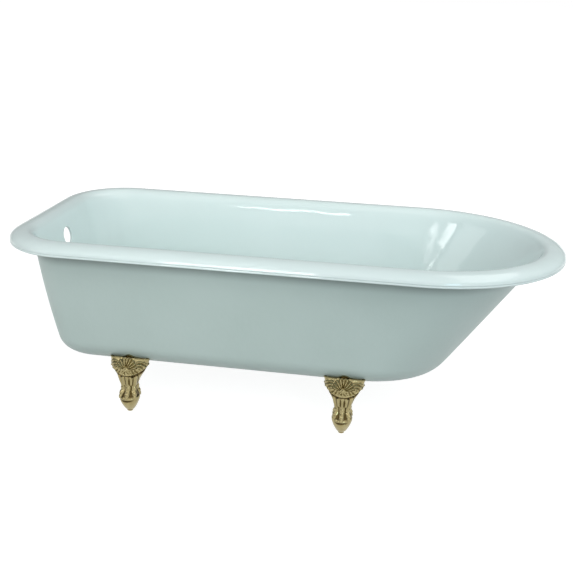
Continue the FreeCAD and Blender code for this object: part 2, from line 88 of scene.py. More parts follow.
SOCKET_SPREAD, SOCKET_DEPTH = 46.0, 2.6  # joint under the front claws' tips: degrees, millimetres
CARVED_SPREAD, CARVED_EDGE = 100.0, 14.0     # degrees from the front that are carved, and the fade
SKIN_REACH = 118.0                       # degrees round the foot at which the skin meets the back
FRONT_ROWS, LEDGE_ROWS, FLANGE = 270, 50, 5.0
HOLLOW_DEPTH = 3.0                       # fall of the ledge behind the carved front

# ------------------------------------------------------------ stage, in metres
FRAME_PIXELS, FOCAL_PIXELS, SENSOR = 573.0, 826.288, 36.0
CAMERA_PLACE = (0.3510, -2.4986, 1.2833)
CAMERA_RIGHT, CAMERA_UP = (0.98739, 0.15511, 0.0317), (-0.08222, 0.33128, 0.93994)
FLOOR_SIZE, FLOOR_COLOUR, FLOOR_GLOW = 400, (0.36, 0.37, 0.37), 0.88
MAIN_LIGHT = (0.35, -0.80, 0.54)
SKY_DARK, SKY_BRIGHT, SKY_STRENGTH = (0.20, 0.205, 0.21), (1.0, 0.99, 0.97), 1.54


# ================================================================ small helpers
def steps(first, last, count):
    return [first + (last - first) * i / count for i in range(count + 1)]


def smooth_step(value, low, high):
    """0 up to low, 1 from high on, and a smooth change between."""
    share = min(max((value - low) / (high - low), 0.0), 1.0)
    return share * share * (3 - 2 * share)


def ridge(distance, half_width):
    """Rounded ridge: 1 on its line, 0 from that half width on."""
    share = min(abs(distance) / half_width, 1.0)
    return (1 - share * share)**2


def mesh_object(name, points, faces, material_of=None):
    """Object from points in millimetres."""
    mesh = bpy.data.meshes.new(name)
    mesh.from_pydata([(x * MM, y * MM, z * MM) for x, y, z in points], [], faces)
    if material_of:
        mesh.polygons.foreach_set("material_index", material_of)
    mesh.polygons.foreach_set("use_smooth", [True] * len(mesh.polygons))
    mesh.update()
    obj = bpy.data.objects.new(name, mesh)
    bpy.context.collection.objects.link(obj)
    return obj


def box_object(name, x, y, z):
    """Box from (low, high) pairs."""
    corners = [(a, b, c) for a in x for b in y for c in z]
    faces = [(0, 1, 3, 2), (4, 6, 7, 5), (0, 4, 5, 1), (2, 3, 7, 6), (0, 2, 6, 4), (1, 5, 7, 3)]
    return mesh_object(name, corners, faces)


def turned_object(name, profile, place, axis=(0, 0, 1), count=96):
    """Closed turned body from (radius, distance along the axis) pairs."""
    turn = Vector((0, 0, 1)).rotation_difference(Vector(axis)).to_matrix()
    points = []
    for radius, along in profile:
        for i in range(count):
            a = 2 * math.pi * i / count
            point = Vector((radius * math.cos(a), radius * math.sin(a), along))
            points.append(turn @ point + Vector(place))
    faces = []
    for j in range(len(profile) - 1):
        for i in range(count):
            k = (i + 1) % count
            faces.append((j * count + i, j * count + k, (j + 1) * count + k, (j + 1) * count + i))
    faces.append(tuple(reversed(range(count))))
    last = (len(profile) - 1) * count
    faces.append(tuple(range(last, last + count)))
    return mesh_object(name, points, faces)


def apply_modifiers(obj):
    view = bpy.context.evaluated_depsgraph_get()
    made = bpy.data.meshes.new_from_object(obj.evaluated_get(view))
    obj.modifiers.clear()
    obj.data = made


def combine(obj, other, operation):
    """Boolean of two closed bodies, applied. The other body is removed."""
    modifier = obj.modifiers.new("combine", "BOOLEAN")
    modifier.object = other
    modifier.operation = operation
    modifier.solver = "EXACT"
    modifier.material_mode = "INDEX"
    apply_modifiers(obj)
    bpy.data.objects.remove(other)


def bevel_edges(obj, width):
    """Small rounded bevel on the sharp edges."""
    modifier = obj.modifiers.new("bevel", "BEVEL")
    modifier.width = width * MM
    modifier.segments = 3
    modifier.limit_method = "ANGLE"
    apply_modifiers(obj)


def sharpen(obj, degrees):
    """Smooth shading with sharp edges over that angle."""
    mesh = obj.data
    body = bmesh.new()
    body.from_mesh(mesh)
    limit = math.radians(degrees)
    for edge in body.edges:
        edge.smooth = len(edge.link_faces) != 2 or edge.calc_face_angle(0.0) < limit
    for face in body.faces:
        face.smooth = True
    body.to_mesh(mesh)
    body.free()


# ================================================================ materials
def noise(tree, where, scale, detail):
    node = tree.nodes.new("ShaderNodeTexNoise")
    node.inputs["Scale"].default_value = scale
    node.inputs["Detail"].default_value = detail
    tree.links.new(where, node.inputs["Vector"])
    return node.outputs["Fac"]


def ramp(tree, factor, low, high, low_colour, high_colour):
    node = tree.nodes.new("ShaderNodeValToRGB")
    node.color_ramp.elements[0].position = low
    node.color_ramp.elements[1].position = high
    node.color_ramp.elements[0].color = (*low_colour, 1)
    node.color_ramp.elements[1].color = (*high_colour, 1)
    tree.links.new(factor, node.inputs["Fac"])
    return node.outputs["Color"]


def mix(tree, factor, colour, other):
    """The colour where the factor is 0, and the other, a fixed one, where it is 1."""
    node = tree.nodes.new("ShaderNodeMix")
    node.data_type = "RGBA"
    node.inputs["B"].default_value = (*other, 1)
    tree.links.new(factor, node.inputs["Factor"])
    tree.links.new(colour, node.inputs["A"])
    return node.outputs["Result"]


def bump(tree, height, distance, before=None):
    node = tree.nodes.new("ShaderNodeBump")
    node.inputs["Distance"].default_value = distance
    tree.links.new(height, node.inputs["Height"])
    if before is not None:
        tree.links.new(before, node.inputs["Normal"])
    return node.outputs["Normal"]


class Surface:
    """Material on the object's own coordinates, given its colour, roughness and relief in turn."""

    def __init__(self, name, metallic=0.0):
        self.material = bpy.data.materials.new(name)
        self.material.use_nodes = True
        self.tree = self.material.node_tree
        self.shader = self.tree.nodes["Principled BSDF"]
        self.shader.inputs["Metallic"].default_value = metallic
        self.where = self.tree.nodes.new("ShaderNodeTexCoord").outputs["Object"]

    def tint(self, scale, detail, spread, dark, light):
        """Colour that wanders between two tones."""
        factor = noise(self.tree, self.where, scale, detail)
        return ramp(self.tree, factor, 0.5 - spread, 0.5 + spread, dark, light)

    def colour(self, colour):
        self.tree.links.new(colour, self.shader.inputs["Base Color"])

    def roughness(self, scale, detail, low, high):
        node = self.tree.nodes.new("ShaderNodeMapRange")
        node.inputs["To Min"].default_value = low
        node.inputs["To Max"].default_value = high
        self.tree.links.new(noise(self.tree, self.where, scale, detail), node.inputs["Value"])
        self.tree.links.new(node.outputs["Result"], self.shader.inputs["Roughness"])

    def relief(self, *layers):
        """Bumps on each other, coarse to fine, each as (scale, detail, depth in metres)."""
        normal = None
        for scale, detail, depth in layers:
            normal = bump(self.tree, noise(self.tree, self.where, scale, detail), depth, normal)
        self.tree.links.new(normal, self.shader.inputs["Normal"])


def enamel_material():
    """Vitreous enamel: glassy, slightly wavy, with a faint orange peel."""
    surface = Surface("white_enamel")
    surface.colour(surface.tint(2.2, 3.0, 0.15, (0.700, 0.822, 0.812), (0.730, 0.842, 0.836)))
    surface.roughness(9.0, 4.0, 0.06, 0.12)
    surface.relief((14.0, 1.0, 0.0012), (160.0, 2.0, 0.00006))
    return surface.material


def paint_material():
    """Satin paint over the cast outside, with painted shade that darkens it towards the rim's lip."""
    surface = Surface("satin_paint")
    tree = surface.tree
    split = tree.nodes.new("ShaderNodeSeparateXYZ")
    tree.links.new(surface.where, split.inputs["Vector"])
    # painted shade: the paint darkens up to the rim's lip, where the lip's shadow falls
    lip_shade = tree.nodes.new("ShaderNodeMapRange")
    lip_shade.interpolation_type = "SMOOTHSTEP"
    lip_shade.inputs["From Min"].default_value = (RIM_HEIGHT - LIP_SHADE_DEPTH) * MM
    lip_shade.inputs["From Max"].default_value = (RIM_HEIGHT - LIP_DEPTH) * MM
    tree.links.new(split.outputs["Z"], lip_shade.inputs["Value"])
    tint = surface.tint(3.0, 4.0, 0.2, (0.532, 0.655, 0.622), (0.570, 0.692, 0.664))
    # the fixed dark colour is the painted shade under the lip
    surface.colour(mix(tree, lip_shade.outputs["Result"], tint, (0.15, 0.185, 0.175)))
    surface.roughness(20.0, 5.0, 0.36, 0.48)
    surface.relief((26.0, 3.0, 0.0012), (420.0, 3.0, 0.00012))
    return surface.material


def brass_material():
    """Polished cast brass, with painted shade in the recesses, on the ledge and in the hollow back.
    """
    surface = Surface("polished_brass", metallic=1.0)
    # painted shade: a mesh attribute darkens the brass where the carving is sunk, on the ledge and in
    # the hollow back
    recess_shade = surface.tree.nodes.new("ShaderNodeAttribute")
    recess_shade.attribute_name = "recess_shade"
    tint = surface.tint(60.0, 4.0, 0.2, (0.30, 0.25, 0.12), (0.38, 0.325, 0.17))
    surface.colour(mix(surface.tree, recess_shade.outputs["Fac"], tint, (0.075, 0.052, 0.018)))
    surface.roughness(130.0, 5.0, 0.10, 0.22)
    surface.relief((90.0, 2.0, 0.0007), (700.0, 3.0, 0.00005))
    return surface.material


def steel_material():
    """Zinc-plated fasteners with fine marks."""
    surface = Surface("zinc_plate", metallic=1.0)
    surface.colour(surface.tint(240.0, 4.0, 0.2, (0.46, 0.46, 0.44), (0.62, 0.62, 0.60)))
    surface.roughness(500.0, 3.0, 0.25, 0.42)
    surface.relief((900.0, 3.0, 0.00008))
    return surface.material


# ================================================================ tub
class Section:
    """Upright section through one wall, as in the solid: out is the distance from the tub's middle
    and depth the distance into the iron from the outer surface."""

    def __init__(self, rim_out, run):
        self.roll_out = rim_out - CROWN_INSET
        self.roll_height = RIM_HEIGHT - ROLL_INNER_RADIUS
        self.bend = ROLL_INNER_RADIUS - WALL
        corner_out = rim_out - run
        across, up = self.roll_out - corner_out, self.roll_height - BELLY_HEIGHT
        self.lean = math.acos(self.bend / math.hypot(across, up)) - math.atan2(up, across)
        self.fillet_out = corner_out - BELLY_FILLET * math.tan((math.pi / 2 - self.lean) / 2)

    def out(self, height, depth):
        fillet = BELLY_FILLET - depth
        below_centre = BELLY_HEIGHT + BELLY_FILLET - height
        if below_centre > fillet * math.sin(self.lean):
            return self.fillet_out + math.sqrt(max(fillet**2 - below_centre**2, 0.0))
        bend = self.bend + depth
        above_centre = height - self.roll_height
        if above_centre < bend * math.sin(self.lean):
            over_tangent = above_centre - bend * math.sin(self.lean)
            return self.roll_out - bend * math.cos(self.lean) + over_tangent * math.tan(self.lean)
        return self.roll_out - math.sqrt(max(bend**2 - above_centre**2, 0.0))


DRAIN_SECTION = Section(RIM_LENGTH / 2, DRAIN_END_RUN)
HEAD_SECTION = Section(RIM_LENGTH / 2, HEAD_END_RUN)
SIDE_SECTION = Section(RIM_WIDTH / 2, SIDE_RUN)
SECTIONS = (DRAIN_SECTION, HEAD_SECTION, SIDE_SECTION)


def d_ring(height, drain_out, head_out, side_out, corner, head_axis):
    """Points of the tub's plan outline, anticlockwise from the tip of the head end."""
    head_x, corner_x = head_out - head_axis, corner - drain_out
    half = []
    for turn in steps(0.0, math.pi / 2, HEAD_STEPS)[:-1]:
        half.append((head_x + head_axis * math.cos(turn), side_out * math.sin(turn)))
    for x in steps(head_x, corner_x, SIDE_STEPS)[:-1]:
        half.append((x, side_out))
    for turn in steps(0.0, math.pi / 2, CORNER_STEPS)[:-1]:
        half.append((corner_x - corner * math.sin(turn), side_out - corner * (1 - math.cos(turn))))
    for y in steps(side_out - corner, 0.0, END_STEPS):
        half.append((-drain_out, y))
    other = [(x, -y) for x, y in reversed(half[1:-1])]
    return [(x, y, height) for x, y in half + other]


def rim_ring(inset, below_crown):
    """Plan outline of the rim, that far in from its widest line and below its highest."""
    return d_ring(RIM_HEIGHT - below_crown, RIM_LENGTH / 2 - inset, RIM_LENGTH / 2 - inset,
                  RIM_WIDTH / 2 - inset, RIM_CORNER_RADIUS - inset, RIM_HEAD_AXIS - inset)


def wall_ring(height, depth):
    """Plan outline of the wall at one height and depth in the iron, between belly and rim in form."""
    side_out = SIDE_SECTION.out(height, depth)
    inset = RIM_WIDTH / 2 - side_out
    share = (height - BELLY_HEIGHT) / (SIDE_SECTION.roll_height - BELLY_HEIGHT)
    share = min(max(share, 0.0), 1.0)
    corner = share * (RIM_CORNER_RADIUS - inset) + (1 - share) * (BELLY_CORNER_RADIUS - depth)
    head_axis = share * (RIM_HEAD_AXIS - inset) + (1 - share) * (BELLY_HEAD_AXIS - depth)
    return d_ring(height, DRAIN_SECTION.out(height, depth), HEAD_SECTION.out(height, depth),
                  side_out, corner, head_axis)


def surface_rings(depth, eased=False):
    """Rings up one side of the iron, from the belly to the rim's highest line. An eased wall leaves
    its plane at EASE_START and curves gently into the bend."""
    least = min(s.lean for s in SECTIONS)
    fillet = BELLY_FILLET - depth
    bend = ROLL_INNER_RADIUS - WALL + depth
    middle = SIDE_SECTION.roll_height
    rings = [wall_ring(BELLY_HEIGHT + BELLY_FILLET - fillet * math.cos(turn), depth)
             for turn in steps(0.0, math.pi / 2 - least, FILLET_STEPS)]
    low, high = rings[-1][0][2], middle + bend * math.sin(least)
    ease = max(high - EASE_START, 0.0) if eased else 0.0
    for z in steps(low, high, WALL_STEPS)[1:]:
        shift = max(ease - (high - z), 0.0)**2 / (2 * EASE_RADIUS)
        rings.append(wall_ring(z, depth - shift))
    reached = ease**2 / (2 * EASE_RADIUS)
    slope = ease / EASE_RADIUS * bend * (math.pi / 2 - least)
    for share in steps(0.0, 1.0, BEND_STEPS)[1:]:
        turn = least + (math.pi / 2 - least) * share
        shift = (reached * (1 + 2 * share) + slope * share) * (1 - share)**2
        rings.append(wall_ring(middle + (bend - shift) * math.sin(turn), depth - shift))
    return rings


def chord(start, end, shares):
    """Points on the straight line between two points."""
    return [tuple(a + (b - a) * share for a, b in zip(start, end)) for share in shares]


def roll_rings(inside):
    """Rings from the rim's highest line to its widest, with the flat band on the outside."""
    low = ROLL_FALL if inside else FACE_FALL
    across, fall = CROWN_INSET - inside, low - inside
    line = [(inside + across * (1 - math.cos(turn)), low - fall * math.sin(turn))
            for turn in steps(math.pi / 2, 0.0, ROLL_STEPS)[1:]]
    if inside == 0:
        ends = [(CROWN_INSET * (1 - math.sqrt(1 - (1 - below / low)**2)), below) for below in BAND]
        above = [point for point in line if point[1] < BAND[0] - 0.4]
        below = [point for point in line if point[1] > BAND[1] + 0.4]
        line = above + chord(*ends, (0.0, 0.06, 0.5, 0.94, 1.0)) + below
    return [rim_ring(inset, below) for inset, below in line]


def lip_rings():
    """Rings down the hollow under the rim's face and round the bead on the lip's edge, and how many
    of the last ones are painted: those from the bead's lowest line on."""
    radius = WALL / 2
    middle = LIP_DEPTH - radius
    start = math.acos(1 - LIP_HOLLOW / radius)
    top = middle - radius * math.sin(start)
    rings = []
    for share in steps(0.0, 1.0, HOLLOW_STEPS)[1:-1]:
        inset = LIP_HOLLOW * math.sin(math.pi / 2 * share)**2
        rings.append(rim_ring(inset, FACE_FALL + share * (top - FACE_FALL)))

    def on_bead(turn):
        return radius * (1 - math.cos(turn)), middle + radius * math.sin(turn)

    flat = chord(*(on_bead(math.radians(degrees)) for degrees in LIP_FLAT), (0.0, 0.08, 0.92, 1.0))
    bead = [on_bead(-start)] + flat + [on_bead(turn) for turn in steps(0.0, math.pi, BEAD_STEPS)]
    return rings + [rim_ring(inset, below) for inset, below in bead], BEAD_STEPS // 2 + 1


def tub_shell(enamel, paint):
    """Closed shell of the casting: enamel inside and round the rim to the lip, paint outside."""
    lip, painted = lip_rings()
    rings = surface_rings(WALL, True) + roll_rings(0.0) + lip
    enamel_rows = len(rings) - painted
    rings += list(reversed(roll_rings(WALL))) + list(reversed(surface_rings(0.0)))
    count = len(rings[0])
    points = [p for ring in rings for p in ring]
    faces, material_of = [], []
    for j in range(len(rings) - 1):
        for i in range(count):
            k = (i + 1) % count
            faces.append((j * count + k, j * count + i, (j + 1) * count + i, (j + 1) * count + k))
            material_of.append(0 if j < enamel_rows else 1)
    last = (len(rings) - 1) * count
    faces += [tuple(range(count)), tuple(reversed(range(last, last + count)))]
    material_of += [0, 1]
    tub = mesh_object("tub_casting", points, faces, material_of)
    tub.data.materials.append(enamel)
    tub.data.materials.append(paint)
    return tub


def drain_cutter():
    """Drain hole, its rounded edge and its shallow dish."""
    edge = -DRAIN_DISH_DEPTH - 0.5
    profile = [(DRAIN_RADIUS, -3 * WALL), (DRAIN_RADIUS, edge)]
    profile += [(DRAIN_RADIUS + DRAIN_ROUND * (1 - math.cos(t)), edge + 1.5 * math.sin(t))
                for t in steps(0.0, math.pi / 2, 6)[1:]]
    profile += [(DRAIN_DISH_RADIUS - 4, -0.9), (DRAIN_DISH_RADIUS, -0.05),
                (DRAIN_DISH_RADIUS + 3, 3.0)]
    return turned_object("dish", profile, (DRAIN_X, 0, BELLY_HEIGHT + WALL))


def overflow_cutter():
    """Overflow hole through the drain-end wall, rounded inside and slightly wider outside."""
    lean = DRAIN_SECTION.lean
    height = RIM_HEIGHT - OVERFLOW_BELOW_RIM
    middle = Vector((-DRAIN_SECTION.out(height, WALL / 2), 0, height))
    edge = WALL / 2 - 2.0
    profile = [(OVERFLOW_RADIUS + 1.6, -WALL), (OVERFLOW_RADIUS + 0.6, -WALL / 2 - 0.2),
               (OVERFLOW_RADIUS, -WALL / 2 + 1.0), (OVERFLOW_RADIUS, edge)]
    profile += [(OVERFLOW_RADIUS + OVERFLOW_ROUND * (1 - math.cos(t)),
                 edge + OVERFLOW_ROUND * math.sin(t)) for t in steps(0.0, 1.35, 6)[1:]]
    profile.append((OVERFLOW_RADIUS + 6, WALL))
    return turned_object("bore", profile, middle, (math.cos(lean), 0, math.sin(lean)))


def tub_object(enamel, paint):
    """The casting with its two holes."""
    tub = tub_shell(enamel, paint)
    combine(tub, drain_cutter(), "DIFFERENCE")
    combine(tub, overflow_cutter(), "DIFFERENCE")
    sharpen(tub, 40)
    return tub


def lug_object(name, x, side, paint):
    """Cast lug under the belly with its slot for the bolt; side is -1 in front and 1 behind."""
    middle = side * (FOOT_Y - BOLT_FROM_FOOT)
    bottom = BELLY_HEIGHT - LUG_DEPTH
    seat = bottom + LUG_FLOOR
    low, high = middle - LUG_REACH / 2, middle + LUG_REACH / 2
    mouth = low - PAST_BODY if side > 0 else high + PAST_BODY
    lug = box_object(name, (x - LUG_WIDTH / 2, x + LUG_WIDTH / 2), (low, high),
                     (bottom, BELLY_HEIGHT + LUG_INTO_BELLY))
    for width, z in ((SLOT_HEAD, (seat, seat + SLOT_HEIGHT)),
                     (SLOT_NECK, (bottom - PAST_BODY, seat + 1))):
        reach = sorted((middle + side * width / 2, mouth))
        combine(lug, box_object("slot", (x - width / 2, x + width / 2), reach, z), "DIFFERENCE")
    bevel_edges(lug, LUG_BEVEL)
    lug.data.materials.append(paint)
    sharpen(lug, 50)
    return lug


def drain_pad(paint):
    """Thick ring under the drain hole."""
    bottom, top = BELLY_HEIGHT - DRAIN_PAD_DEPTH, BELLY_HEIGHT + PAD_INTO_BELLY
    profile = [(DRAIN_PAD_RADIUS - 1.5, bottom), (DRAIN_PAD_RADIUS - 0.4, bottom + 0.5),
               (DRAIN_PAD_RADIUS, bottom + 1.6), (DRAIN_PAD_RADIUS, top)]
    pad = turned_object("drain_pad", profile, (DRAIN_X, 0, 0))
    hole = [(DRAIN_RADIUS, bottom - PAST_BODY), (DRAIN_RADIUS, top + PAST_BODY)]
    combine(pad, turned_object("hole", hole, (DRAIN_X, 0, 0)), "DIFFERENCE")
    pad.data.materials.append(paint)
    sharpen(pad, 40)
    return pad


# ================================================================ feet
def leg_rows(ball, neck, shell, base, belly):
    """(height, half width, middle, front, back) of the leg's plain sections, as in the solid."""
    return [
        (base, ball * 0.31, 0, ball * 0.31, ball * 0.31),
        (base + 4, ball * 0.45, 0, ball * 0.47, ball * 0.45),
        (base + 11, ball * 0.60, 0, ball * 0.65, ball * 0.62),
        (base + 20, ball * 0.75, 0, ball * 0.84, ball * 0.77),
        (base + 30, ball * 0.885, 0, ball * 1.00, ball * 0.92),
        (base + 40, ball * 0.98, 0, ball * 1.08, ball * 1.00),
        (base + 48, ball, 0, ball * 1.07, ball * 1.02),
        (base + 60, ball * 0.91, 1, ball * 0.90, ball * 0.95),
        (base + 76, neck, 3, neck * 0.84, neck * 0.95),
        (belly - 55, neck * 1.19, 5, neck * 1.05, neck * 1.15),
        (belly - 37, shell * 0.57, 8, shell * 0.52, shell * 0.52),
        (belly - 15, shell * 0.775, 12, shell * 0.66, shell * 0.66),
        (belly + 6, shell * 0.94, 15, shell * 0.72, shell * 0.79),
        (belly + 23, shell, 17, shell * 0.58, shell * 0.80),
        (belly + 34, shell * 1.01, 18, shell * 0.46, shell * 0.80),
        (belly + 50, shell, 19, shell * 0.42, shell * 0.80),
    ]


LEG_ROWS = leg_rows(BALL, NECK, SHELL, FOOT_BASE, BELLY_HEIGHT)


def leg_section(height):
    """(half width, middle, front, back) at one height, on a smooth curve through the rows."""
    rows = LEG_ROWS
    last = len(rows) - 1
    i = max(k for k in range(last) if k == 0 or rows[k][0] <= height)
    span = rows[i + 1][0] - rows[i][0]
    t = (height - rows[i][0]) / span

    def slope(k, column):
        low, high = rows[max(k - 1, 0)], rows[min(k + 1, last)]
        return (high[column] - low[column]) / (high[0] - low[0]) * span

    def value(column):
        start, end = rows[i][column], rows[i + 1][column]
        first, second = slope(i, column), slope(i + 1, column)
        return (start * (1 + 2 * t) * (1 - t)**2 + first * t * (1 - t)**2
                + end * t**2 * (3 - 2 * t) - second * t**2 * (1 - t))

    return [value(column) for column in (1, 2, 3, 4)]


def crest_height(across):
    """Top edge of the flange on the tub, with its peak in the middle."""
    return FOOT_TOP - CREST_RISE * (1 - math.exp(-(across / CREST_HALF_WIDTH)**2))


def front_height(across):
    """Top of the carved front: nearly level, a little lower towards both sides."""
    return FOOT_TOP - FRONT_FALL * (1 + (across / SHELL)**2)


def fan_relief(across, height):
    """Ribs that spread from one boss up to the crest, or None outside the fan."""
    up = height - BELLY_HEIGHT - FAN_ABOVE_BELLY
    radius = math.hypot(across, up)
    turn = math.degrees(math.atan2(across, up))
    if radius < FAN_BOSS:
        return 3.4 * math.sqrt(1 - (radius / FAN_BOSS)**2)
    reach = FAN_RADIUS * (1 - 0.10 * abs(turn) / 90)
    if abs(turn) > FAN_SPREAD / 2 or radius > reach:
        return None
    off_rib = (turn + FAN_SPREAD / 2) % FAN_STEP - FAN_STEP / 2
    rise = smooth_step(radius, FAN_BOSS, FAN_BOSS + 6)
    end = 1 - smooth_step(radius, reach - 4, reach)
    return rise * (FAN_HEIGHT * ridge(off_rib, FAN_STEP * 0.5) * (0.35 + 0.65 * end) - 1.6)


def scroll_relief(across, height):
    """Spiral scrolls on both sides of the fan."""
    x, z = SCROLL_OUT - abs(across), height - BELLY_HEIGHT - SCROLL_ABOVE_BELLY
    radius = math.hypot(x, z)
    if radius > SCROLL_RADIUS + 2:
        return 0.0
    along = math.atan2(z, x) / (2 * math.pi)
    off_bead = (radius - along * SCROLL_PITCH) % SCROLL_PITCH - SCROLL_PITCH / 2
    fade = 1 - smooth_step(radius, SCROLL_RADIUS - 2, SCROLL_RADIUS + 2)
    fade *= smooth_step(radius, 2, 5)
    return fade * (3.6 * ridge(off_bead, SCROLL_PITCH / 2) - 1.3) + 3.2 * ridge(radius, SCROLL_KNOB)


def petal_relief(across, height):
    """Three petals that hang from the fan's boss down to the shell's edge."""
    up = height - BELLY_HEIGHT - FAN_ABOVE_BELLY
    radius = math.hypot(across, up)
    turn = math.degrees(math.atan2(across, -up))
    along = (radius - FAN_BOSS) / PETAL_LENGTH
    if not 0 < along < 1 or abs(turn) > PETAL_SPREAD:
        return 0.0
    off_petal = (turn + PETAL_SPREAD) % PETAL_STEP - PETAL_STEP / 2
    swell = math.sin(math.pi * along)**0.6
    return swell * (4.2 * ridge(off_petal, PETAL_STEP / 2)**0.8 - 1.4)


def edge_relief(across, height):
    """Thin raised border along the top of the carved front."""
    return 1.6 * ridge(front_height(across) - height - 1.5, 2.6)


def cup_line(across):
    """Lower edge of the shell, over the ankle."""
    return BELLY_HEIGHT - CUP_BELOW_BELLY + CUP_RISE * (across / CUP_HALF_WIDTH)**2


def cup_relief(across, height):
    """Rounded lip along the shell's lower edge and the undercut below it, deeper at the sides."""
    above = height - cup_line(across)
    side = smooth_step(abs(across), 8, 22)
    undercut = (2.6 + 3.4 * side) * ridge(above + 3.2 + 2 * side, 4.2 + 3 * side)
    return 2.8 * ridge(above - 3.0, 5.0) - undercut


def leaf_relief(across, height):
    """Lobed leaf on the ankle, under the shell's edge."""
    low, high = FOOT_BASE + LEAF_ABOVE_BASE, cup_line(across) - 2.0
    share = (height - low) / (high - low)
    if not 0 < share < 1:
        return 0.0
    spacing = LEAF_SPACING[0] + (LEAF_SPACING[1] - LEAF_SPACING[0]) * share
    half_leaf = LEAF_RIBS / 2 * spacing
    if abs(across) > half_leaf:
        return 0.0
    off_rib = (across + half_leaf) % spacing - spacing / 2
    swell = math.sin(math.pi * share**0.8)**0.5
    return swell * (5.4 * ridge(off_rib, spacing / 2)**0.8 - 1.8)


def toe_relief(degrees, height):
    """Knuckled toes down over the ball, each ending in a claw, and the joint under the tips."""
    if not TOE_TIP - 12 < height < TOE_TOP:
        return 0.0
    half_width = leg_section(height)[0]
    width = 3.6 + 5.6 * smooth_step(height, TOE_TIP, TOE_NAIL)
    width += 2.0 * smooth_step(height, TOE_NAIL, TOE_LOWER)
    width -= 3.0 * smooth_step(height, TOE_UPPER, TOE_TOP)
    toe = 0.0
    for place in TOE_ANGLES:
        off_toe = math.radians((degrees - place + 180) % 360 - 180) * half_width
        toe = max(toe, ridge(off_toe, width)**0.55)
    claw = smooth_step(height, TOE_TIP - 0.8, TOE_TIP + 0.8)
    claw *= 0.62 + 0.38 * smooth_step(height, TOE_TIP, TOE_NAIL)
    joints = 0.78 + 0.22 * ridge(height - TOE_LOWER, 8.0) + 0.16 * ridge(height - TOE_UPPER, 7.0)
    joints -= 0.20 * ridge(height - TOE_NAIL, 3.5)
    ankle = 1 - smooth_step(height, TOE_UPPER, TOE_TOP)
    gap = 2.2 * (1 - toe) * smooth_step(height, TOE_TIP + 2, TOE_NAIL) * ankle
    front = abs((degrees + 180) % 360 - 180) / SOCKET_SPREAD
    socket = ridge(height - TOE_TIP + 5.5 - 4.0 * front**2, 5.0) * ridge(front, 1.0)**0.5
    return TOE_HEIGHT * toe * claw * joints * ankle - gap - SOCKET_DEPTH * socket


def leg_point(height, degrees, relief):
    """Point round the leg at one height, raised by the relief; 0 degrees is the front."""
    half_width, middle, front, back = leg_section(height)
    turn = math.radians(degrees)
    depth = front if math.cos(turn) > 0 else back
    return ((half_width + relief) * math.sin(turn),
            middle - (depth + relief) * math.cos(turn), height)


def foot_relief(degrees, height):
    """All the carving at one point: toes all round, the rest on the front."""
    across = leg_section(height)[0] * math.sin(math.radians(degrees))
    relief = toe_relief(degrees, height)
    if abs(degrees) < CARVED_SPREAD:
        edge = smooth_step(CARVED_SPREAD - abs(degrees), 0, CARVED_EDGE)
        carved = cup_relief(across, height) + leaf_relief(across, height)
        if height > cup_line(across) + 3:
            fan = fan_relief(across, height)
            carved += scroll_relief(across, height) if fan is None else fan
            carved += petal_relief(across, height)
        relief += edge * (carved + edge_relief(across, height))
    return relief


def bend_y(height):
    """Place of the tub's skin, in the foot's frame."""
    if height <= BELLY_HEIGHT:
        return 1000.0
    return FOOT_Y - SIDE_SECTION.out(height, 0.0) - SADDLE_GAP


def ledge_point(x, y, z, share):
    """Point behind the carved front's edge at (x, y, z): back over the hollow ledge, and up the
    flange on the tub to its edge at share 1."""
    edge = crest_height(x)
    low = min(z, edge) - HOLLOW_DEPTH
    half = 0.5 * (low + edge)
    stops = [(0.0, y, z), (0.06, y + 0.9, z + 1.0), (0.14, y + 2.6, z + 0.4),
             (0.20, y + 3.2, 0.5 * (z + low)), (0.34, 0.6 * y + 0.4 * (bend_y(low) - FLANGE), low),
             (0.55, bend_y(low) - FLANGE + 1.0, low), (0.72, bend_y(half) - FLANGE, half),
             (0.88, bend_y(edge) - FLANGE, edge - 1.0), (0.94, bend_y(edge) - 0.6 * FLANGE, edge),
             (1.0, bend_y(edge), edge)]
    after = next(i for i in range(1, len(stops)) if share <= stops[i][0] + 1e-9)
    (s0, y0, z0), (s1, y1, z1) = stops[after - 1], stops[after]
    part = (share - s0) / (s1 - s0)
    z = z0 + (z1 - z0) * part
    return x, min(max(y0 + (y1 - y0) * part, y), bend_y(z)), z


def skin_point(degrees, level):
    """Point on the skin, and how much painted shade it gets: more where the carving is sunk, and a
    band of it on the ledge. Level goes from 0 at the floor to 1 at the top of the carved front, and
    on to 2 at the flange's edge on the tub."""
    turn = math.radians(degrees)
    up = min(level, 1.0)
    plain = FOOT_BASE + (FOOT_TOP - CREST_RISE - FOOT_BASE) * up
    top = front_height(leg_section(plain)[0] * math.sin(turn))
    height = FOOT_BASE + (top - FOOT_BASE) * up
    relief = foot_relief(degrees, height)
    x, y, z = leg_point(height, degrees, relief)
    y = min(y, bend_y(z))
    if level <= 1:
        # painted shade, deeper where the relief is sunk
        return (x, y, z), min(max(-relief / 1.8, 0.0), 1.0)
    share = level - 1
    # painted shade in a band across the ledge
    return ledge_point(x, y, z, share), 0.25 * ridge(share - 0.42, 0.2)


